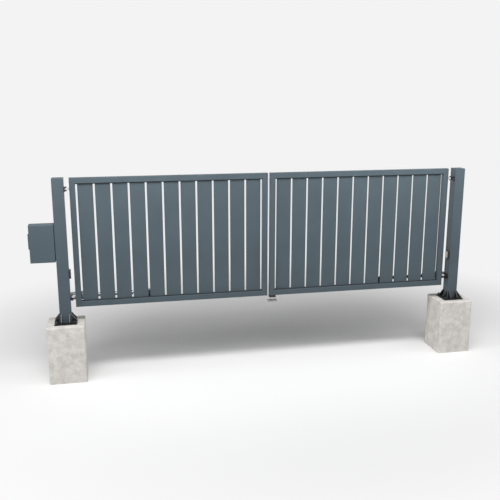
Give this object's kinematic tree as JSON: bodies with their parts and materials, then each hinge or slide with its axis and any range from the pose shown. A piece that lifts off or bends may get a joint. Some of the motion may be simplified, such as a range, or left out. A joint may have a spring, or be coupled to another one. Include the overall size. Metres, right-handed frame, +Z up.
{
  "type": "electric double swing gate",
  "caption": "Electric double swing gate with slatted leaves, square posts on concrete blocks, rams behind the leaves, photocells and a control box.",
  "frame": {"origin": "centre of the left foundation block's underside", "axes": "+X along the gate from the left post to the right post, +Y to the inside where the leaves open to, +Z up"},
  "size_m": [4.2015, 0.32, 1.838],
  "materials": {
    "anthracite_powder_coat": "satin powder coat",
    "black_powder_coat": "satin powder coat",
    "concrete": "cast, fine grained",
    "galvanised_steel": "hot-dip galvanised",
    "polished_rod": "polished",
    "motor_housing": "matt",
    "ram_tube": "anodised",
    "photocell_housing": "matt",
    "photocell_lens": "gloss",
    "stop_rubber": "matt"
  },
  "bodies": {
    "posts": {"left_foundation_block": "concrete", "left_post_base": "black_powder_coat", "left_post": "anthracite_powder_coat", "left_post_cap": "anthracite_powder_coat", "left_lower_hinge_bracket": "black_powder_coat", "left_upper_hinge_bracket": "black_powder_coat", "left_photocell_housing": "photocell_housing", "left_photocell_lens": "photocell_lens", "left_ram_post_bracket": "black_powder_coat", "right_foundation_block": "concrete", "right_post_base": "black_powder_coat", "right_post": "anthracite_powder_coat", "right_post_cap": "anthracite_powder_coat", "right_lower_hinge_bracket": "black_powder_coat", "right_upper_hinge_bracket": "black_powder_coat", "right_photocell_housing": "photocell_housing", "right_photocell_lens": "photocell_lens", "right_ram_post_bracket": "black_powder_coat", "control_box_spacer": "anthracite_powder_coat", "control_box_body": "anthracite_powder_coat"},
    "left_leaf": {"left_bottom_rail": "anthracite_powder_coat", "left_top_rail": "anthracite_powder_coat", "left_hinge_stile": "anthracite_powder_coat", "left_meeting_stile": "anthracite_powder_coat", "left_slats": "anthracite_powder_coat", "left_lower_hinge_eyebolt": "galvanised_steel", "left_upper_hinge_eyebolt": "galvanised_steel", "left_ram_leaf_bracket": "black_powder_coat"},
    "right_leaf": {"right_bottom_rail": "anthracite_powder_coat", "right_top_rail": "anthracite_powder_coat", "right_hinge_stile": "anthracite_powder_coat", "right_meeting_stile": "anthracite_powder_coat", "right_slats": "anthracite_powder_coat", "right_lower_hinge_eyebolt": "galvanised_steel", "right_upper_hinge_eyebolt": "galvanised_steel", "right_ram_leaf_bracket": "black_powder_coat", "leaf_stop_bracket": "black_powder_coat", "leaf_stop_foot": "stop_rubber"},
    "left_ram": {"left_ram_motor": "motor_housing", "left_ram_tube": "ram_tube"},
    "right_ram": {"right_ram_motor": "motor_housing", "right_ram_tube": "ram_tube"},
    "left_rod": {"left_ram_rod": "polished_rod"},
    "right_rod": {"right_ram_rod": "polished_rod"},
    "control_box_door": {"control_box_door": "anthracite_powder_coat"}
  },
  "joints": [
    {"name": "left_leaf_swing", "type": "hinge", "parent": "posts", "child": "left_leaf", "pos_m": [0.065, 0.026, 0.748], "axis": [0, 0, 1], "range_deg": [0, 90]},
    {"name": "left_ram_swivel", "type": "hinge", "parent": "posts", "child": "left_ram", "pos_m": [0, 0.091, 0.748], "axis": [0, 0, 1], "range_deg": [0, 90]},
    {"name": "left_rod_slide", "type": "slide", "parent": "left_ram", "child": "left_rod", "axis": [-1, 0, 0], "range_m": [0, 0.13]},
    {"name": "right_leaf_swing", "type": "hinge", "parent": "posts", "child": "right_leaf", "pos_m": [3.695, 0.026, 0.748], "axis": [0, 0, -1], "range_deg": [0, 90]},
    {"name": "right_ram_swivel", "type": "hinge", "parent": "posts", "child": "right_ram", "pos_m": [3.76, 0.091, 0.748], "axis": [0, 0, -1], "range_deg": [0, 90]},
    {"name": "right_rod_slide", "type": "slide", "parent": "right_ram", "child": "right_rod", "axis": [1, 0, 0], "range_m": [0, 0.13]},
    {"name": "control_box_door_hinge", "type": "hinge", "parent": "posts", "child": "control_box_door", "pos_m": [-0.272, -0.0315, 1.294], "axis": [0, 0, -1], "range_deg": [0, 110]}
  ],
  "couplings": [
    {"joint": "left_ram_swivel", "follows": "left_leaf_swing", "ratio": 1},
    {"joint": "left_rod_slide", "follows": "left_leaf_swing", "m_per_rad": 0.08276},
    {"joint": "right_ram_swivel", "follows": "right_leaf_swing", "ratio": 1},
    {"joint": "right_rod_slide", "follows": "right_leaf_swing", "m_per_rad": 0.08276}
  ]
}
